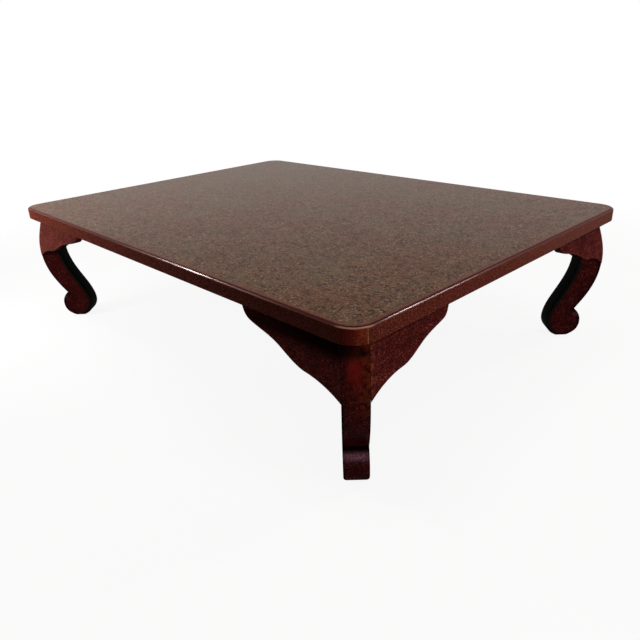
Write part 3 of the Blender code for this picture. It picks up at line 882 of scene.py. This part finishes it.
def bracketMesh(length, shape, shadow, wornAndLit):  # in the side's own frame: run, offset inwards, height
    size = bracketSize
    wave = bracketWave(length, shape)
    bow = [Vector(((p.x - legSize["width"] / 2) / root2, p.y)) for p in legFront(60)]
    slant = size["slotHalf"] * root2
    columns = size["columns"]
    shares = [(i / columns) ** 0.85 for i in range(columns)] + [0.9985]  # closer together by the leg
    verts, faces = [], []
    paint = {"back": [], "rub": [], "edge": []}
    for share in shares:
        def runAt(offset):
            return offset + slant + (length - offset - slant) * share

        offset = bow[0].x
        for _ in range(8):  # where the bowed face meets the lower edge
            foot = heightOn(wave, runAt(offset))
            offset = insetOn(bow, foot)
        depth = seat - foot
        edge = min(size["edge"], depth * 0.3)
        levels = [depth * 0.87 * i / 20 for i in range(21)]
        levels += [max(depth * 0.87, depth - d) for d in (0.007, 0.0045, edge + 0.0012)] + [depth - edge]
        section = bracketSection(bow, levels, foot, edge)
        for offset, height, onWave in section:
            if onWave:
                height += heightOn(wave, runAt(offset))
            verts.append((runAt(offset), offset, height))
        front, loop = len(levels), len(section)
        near = 1.0 - min(1.0, share / 0.05)
        for k in range(loop):
            drop = levels[k] if k < front else depth
            lip = max(0.0, 1.0 - (depth - drop) / size["lip"])
            under = clamped((k - front - 2) / 3) * (1.0 - 0.25 * max(0.0, share - 0.7) / 0.3)
            # painted shadow under the overhang, carried by the edge attribute
            paintedShadow = clamped((shadow - drop) / shadow * 2.6) * (1.0 - 0.55 * share * share)
            # orange along the lower edge and by the leg: partly wear, partly painted highlight
            paint["rub"].append(max(lip * 0.5, near * wornAndLit) if k <= front + 1 else 0.0)
            paint["back"].append(under if k < front + 8 else 1.0)
            paint["edge"].append(paintedShadow if k < front else 0.0)
    for i in range(columns):
        for k in range(loop):
            n = (k + 1) % loop
            a, b = i * loop, (i + 1) * loop
            faces.append((a + k, a + n, b + n, b + k))
    faces += [tuple(range(loop)), tuple(range(columns * loop, (columns + 1) * loop))]
    mesh = newMesh("bracket", verts, faces)
    paintMesh(mesh, paint)
    return mesh


def sideFrame(signs, side):  # x along the side from the corner, y inwards, z up
    along, inwards = Vector((-signs[0], 0, 0)), Vector((0, -signs[1], 0))
    if side == "short":
        along, inwards = inwards, along
    return axesFrame(cornerPoint(signs), along, inwards, up)


def makeBrackets(finish):
    size = bracketSize
    for side in ("long", "short"):
        for name, signs in corners.items():
            node = f"bracket_{name}_{side}"
            shadow = size["nearShadow" if node == size["near"] else "shadow"]  # painted shadow under the overhang, deepest on the near bracket
            mesh = bracketMesh(size[side], bracketWaves[side], shadow, size[side + "Rub"])
            mesh.transform(sideFrame(signs, side))
            addPiece(node, smoothEdges(mesh, 40.0), finish, "top")
    print("brackets", len(mesh.polygons), "faces each")


# blocks and battens under the top, and the folded steel hinge plates

softened = {"batten": 0.0012, "corner_block": 0.0010, "glue_block": 0.0010, "hinge_plate": 0.0005}


def makeBlocks(wood, steel):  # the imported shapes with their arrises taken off
    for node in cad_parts:
        for kind, width in softened.items():
            if node.startswith(kind):
                finish, slotName = (steel, "steel") if kind == "hinge_plate" else (wood, "black_lacquer")
                mesh = bevelled(simplified(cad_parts[node].data.copy(), 1.0), width, 40)
                addPiece(node, smoothEdges(mesh), finish, "top")
    print("blocks, battens and hinge plates softened")


# hinge bolts, clamp nuts and screws

boltSize = {"radius": 0.003, "head": 0.006, "headHeight": 0.004, "headRim": 0.0012, "grip": 0.02555,
            "nutLength": 0.007, "tail": 0.002, "chamfer": 0.0006, "domeSteps": 8, "steps": 32}


def makeBolts(finish):
    size = boltSize
    radius, chamfer, head = size["radius"], size["chamfer"], size["head"]
    under = -size["grip"]
    end = size["grip"] + size["nutLength"] + size["tail"]
    rim = under - size["headRim"]
    profile = [(0.0, end), (radius - chamfer, end), (radius, end - chamfer), (radius, under), (head, under),
               (head, rim)]
    for i in range(1, size["domeSteps"] + 1):
        a = math.radians(90 * i / size["domeSteps"])
        profile.append((head * math.cos(a), rim - (size["headHeight"] - size["headRim"]) * math.sin(a)))
    for name, signs in corners.items():
        mesh = turned([(r, -y) for r, y in profile], size["steps"])
        mesh.transform(diagonalFrame(signs) @ Matrix.Translation((legSize["pivotInset"], 0, pivotHeight)))
        addPiece("hinge_bolt_" + name, smoothEdges(mesh), finish, "top")
    print("hinge bolts")


nutSize = {"Radius": 0.0085, "Flute": 0.0006, "Bore": 0.0033, "Length": 0.007, "Flutes": 18, "Points": 144}
nutBevel = 0.0005


def nutTree(finish):  # a disc with a scalloped rim, thickened
    tree, keys, wires, ending = newTree("clampNut", nutSize)
    start = wires["Geometry"]

    def circle(points, radius):
        return start.node("GeometryNodeCurvePrimitiveCircle", {}, {"Resolution": points, "Radius": radius})

    spot = start.node("GeometryNodeInputPosition")
    beat = spot.maths("ARCTAN2", spot.axis("Y"), spot.axis("X")) * wires["Flutes"]
    wave = beat.maths("COSINE", beat)
    scale = 1 - (0.5 - wave * 0.5) * (wires["Flute"] / wires["Radius"])
    moved = spot.node("ShaderNodeVectorMath", {"operation": "SCALE"}, {0: spot, "Scale": scale})
    ring = circle(wires["Points"], wires["Radius"])
    ring = ring.node("GeometryNodeSetPosition", {}, {"Geometry": ring, "Position": moved})
    both = joined([ring, circle(boltSize["steps"], wires["Bore"])])
    disc = both.node("GeometryNodeFillCurve", {"mode": "TRIANGLES"}, {"Curve": both})
    thick = disc.node("GeometryNodeExtrudeMesh", {}, {
        "Mesh": disc, "Offset": disc.node("ShaderNodeCombineXYZ", {}, {"Z": 1.0}),
        "Offset Scale": wires["Length"], "Individual": False})
    whole = joined([thick, disc.node("GeometryNodeFlipFaces", {}, {"Mesh": disc})])
    whole = coated(realized(welded(whole, 0.00001)), finish)
    tree.links.new(whole.socket, ending.inputs[0])
    return tree, keys


def makeNuts(finish):
    tree, keys = nutTree(finish)
    blank = smoothEdges(runTree(tree, keys, nutSize, bpy.data.meshes.new("nothing")), 30.0)
    blank = bevelled(simplified(blank, 0.5), nutBevel, 60)
    for name, signs in corners.items():
        node = "clamp_nut_" + name
        inwards = Vector((-signs[0], -signs[1], 0)) / root2
        pivot = cornerPoint(signs) + inwards * legSize["pivotInset"] + up * pivotHeight
        mesh = blank.copy()
        mesh.transform(axesFrame(pivot, inwards, up, inwards.cross(up))
                       @ Matrix.Translation((0, 0, boltSize["grip"])))
        addPiece(node, smoothEdges(mesh), finish, node)
    print("clamp nuts", len(blank.polygons), "faces each")


screwSize = {"Head": 0.004, "Shank": 0.002, "Neck": 0.002, "Length": 0.0105, "Slot": 0.0009,
             "Sides": 28, "Seed": 7}
screwPlace = {"plateStart": 0.1242, "plateEnd": 0.1762, "edge": 0.013, "side": 0.01225, "face": 0.2792}


def screwTree(finish):  # one countersunk screw, set on every point with its slot turned by chance
    tree, keys, wires, ending = newTree("plateScrews", screwSize)
    points = wires["Geometry"]

    def cone(low, high, depth):
        return points.node("GeometryNodeMeshCone", {}, {
            "Vertices": wires["Sides"], "Radius Bottom": low, "Radius Top": high, "Depth": depth})

    head = cone(wires["Head"], wires["Shank"], wires["Neck"])
    shank = cone(wires["Shank"] * 0.98, wires["Shank"] * 0.2, wires["Length"] - wires["Neck"] * 0.5)
    body = head.node("GeometryNodeMeshBoolean", {"operation": "UNION"}, {})
    for part in (head, lifted(shank, wires["Neck"] * 0.5)):
        tree.links.new(part.socket, body.socket.node.inputs["Mesh 2"])
    groove = points.node("ShaderNodeCombineXYZ", {}, {"X": wires["Head"] * 3.0, "Y": wires["Slot"],
                                                     "Z": wires["Slot"] * 2.0})
    blade = points.node("GeometryNodeMeshCube", {}, {"Size": groove})
    screw = body.node("GeometryNodeMeshBoolean", {"operation": "DIFFERENCE"},
                      {"Mesh 1": body, "Mesh 2": blade})
    turn = points.node("FunctionNodeRandomValue", {"data_type": "FLOAT"},
                       {2: 0.0, 3: 2 * math.pi, "Seed": wires["Seed"]}, 1)
    spun = points.node("GeometryNodeInstanceOnPoints", {}, {
        "Points": points, "Instance": screw, "Rotation": turn.node("ShaderNodeCombineXYZ", {}, {"Z": turn})})
    whole = coated(realized(spun), finish)
    tree.links.new(whole.socket, ending.inputs[0])
    return tree, keys


def makeScrews(finish):
    size = screwPlace
    tree, keys = screwTree(finish)
    spots = []
    for signs in corners.values():
        for inset in (size["plateStart"] + size["edge"], size["plateEnd"] - size["edge"]):
            for reach in (-size["side"], size["side"]):
                spots.append(diagonalFrame(signs) @ Vector((inset, reach, size["face"])))
    mesh = smoothEdges(runTree(tree, keys, screwSize, newMesh("screwSpots", spots, [])), 30.0)
    nodes = [f"screw_{name}_{number}" for name in corners for number in range(1, 5)]
    addPiece("plate_screws", mesh, None, "top", nodes)
    print("screws", len(mesh.polygons), "faces in all")


# floor, light and camera

floorLook = {"seen": 0.95, "bounce": 0.30, "lift": 0.90, "near": 1.0, "far": 1.9, "radius": 9.0,
             "drop": 0.0002}


def makeFloor():
    look = floorLook
    shape = bmesh.new()
    bmesh.ops.create_circle(shape, cap_ends=True, segments=96, radius=look["radius"])
    mesh = bpy.data.meshes.new("floor")
    shape.to_mesh(mesh)
    shape.free()
    mesh.transform(Matrix.Translation((0, 0, -look["drop"])))
    floor = newObject("floor", mesh)
    finish, shader, place = newFinish("paleFloor", {"Roughness": 0.9, "Specular IOR Level": 0.0})
    tree = finish.node_tree
    plain = plainRays(tree)
    away = place.awayFrom(0.0, 0.0).rise(look["near"], look["far"])
    feed(shader, {"Base Color": look["bounce"] + plain * (look["seen"] - look["bounce"])})
    glow = place.node("ShaderNodeEmission", {}, {"Color": (1, 1, 1, 1), "Strength": 1.0})
    blend = place.node("ShaderNodeMixShader", {}, {
        0: plain * (look["lift"] + (1 - look["lift"]) * away), 1: Wire(tree, shader.outputs[0]), 2: glow})
    tree.links.new(blend.socket, tree.nodes["Material Output"].inputs["Surface"])
    mesh.materials.append(finish)


ambient = 0.05  # the world's own light, next to the lamps
lampSet = {
    "ceiling": {"place": (-0.3, 0.6, 2.6), "aim": (0, 0, 0.3), "size": (2.4, 2.0), "watts": 7.5},
    "overhead": {"place": (-0.1, -0.4, 2.4), "aim": (0.0, -0.2, 0.3), "size": (1.2, 1.2), "watts": 11.5},
    "right": {"place": (2.7, 0.35, 0.62), "aim": (0.5, 0, 0.2), "size": (1.6, 0.9), "watts": 30.0},
    "left": {"place": (-0.70, -1.00, 0.46), "aim": (-0.5, -0.44, 0.25), "size": (0.3, 0.3), "watts": 1.9,
             "spread": 100},
    "leftHigh": {"place": (-1.4, -1.5, 1.3), "aim": (-0.4, -0.3, 0.2), "size": (0.8, 0.8), "watts": 1.6},
    "glint": {"place": (-1.57, -0.864, 1.53), "aim": (0.2, -0.44, 0.31), "size": (0.3, 0.3), "watts": 12.5,
              "colour": (1.0, 0.83, 0.78), "mirrored": True},
    "front": {"place": (1.3, -1.7, 1.7), "aim": (0.5, -0.4, 0.2), "size": (0.8, 0.8), "watts": 1.2},
    "strip": {"place": (1.24, 1.68, 1.95), "aim": (0.6, -0.3, 0.3), "size": (0.2, 0.6), "watts": 16.0,
              "colour": (1.0, 0.80, 0.74), "mirrored": True},
    "back": {"place": (-1.7, 1.9, 0.7), "aim": (0, 0, 0.31), "size": (2.4, 0.7), "watts": 1.3},
}


def makeLight():
    for name, lamp in lampSet.items():
        data = bpy.data.lights.new(name, "AREA")
        data.shape = "RECTANGLE"
        data.size, data.size_y = lamp["size"]
        data.energy = lamp["watts"]
        data.spread = math.radians(lamp.get("spread", 180))
        data.color = lamp.get("colour", (1.0, 1.0, 1.0))
        light = newObject(name, data)
        place = Vector(lamp["place"])
        light.location = place
        light.visible_glossy = lamp.get("mirrored", False)  # two are to show in the lacquer
        light.rotation_euler = (Vector(lamp["aim"]) - place).to_track_quat("-Z", "Y").to_euler()
    world = bpy.data.worlds.new("studio")
    bpy.context.scene.world = world
    world.use_nodes = True
    tree = world.node_tree
    backing = tree.nodes["Background"]
    backing.inputs["Color"].default_value = (1, 1, 1, 1)
    strength = ambient + plainRays(tree) * (1 - ambient)
    tree.links.new(strength.socket, backing.inputs["Strength"])


viewPoint = {"azimuth": 46.6048, "elevation": 24.1356, "roll": -2.4896, "place": (1.0797, -0.9575, 0.6471),
             "focal": 591.697, "pixels": 640, "sensor": 36.0}


def makeCamera():
    view = viewPoint
    azimuth, elevation, roll = (math.radians(view[key]) for key in ("azimuth", "elevation", "roll"))
    back = Vector((math.sin(azimuth) * math.cos(elevation), -math.cos(azimuth) * math.cos(elevation),
                   math.sin(elevation)))
    right = up.cross(back).normalized()
    top = back.cross(right)
    data = bpy.data.cameras.new("camera")
    data.sensor_width = view["sensor"]
    data.lens = view["focal"] / view["pixels"] * view["sensor"]
    camera = newObject("camera", data)
    camera.matrix_world = axesFrame(Vector(view["place"]), right * math.cos(roll) + top * math.sin(roll),
                                    top * math.cos(roll) - right * math.sin(roll), back)
    bpy.context.scene.camera = camera


makeTop()
redLeg = redFinish("redLacquer", redLook, redGloss)
redBracket = redFinish("redBracketLacquer", bracketLook, redGloss)
black = blackFinish("blackLacquer", (1.0, 0.15, 1.0))
steel = metalFinish("hingeSteel", metalLook["steel"])
brass = metalFinish("agedBrass", metalLook["brass"])
makeLegs(redLeg)
makeBrackets(redBracket)
makeBlocks(black, steel)
makeBolts(steel)
makeNuts(brass)
makeScrews(steel)
makeFloor()
makeLight()
makeCamera()
bpy.context.scene.view_settings.view_transform = "Standard"
print("floor, light and camera")
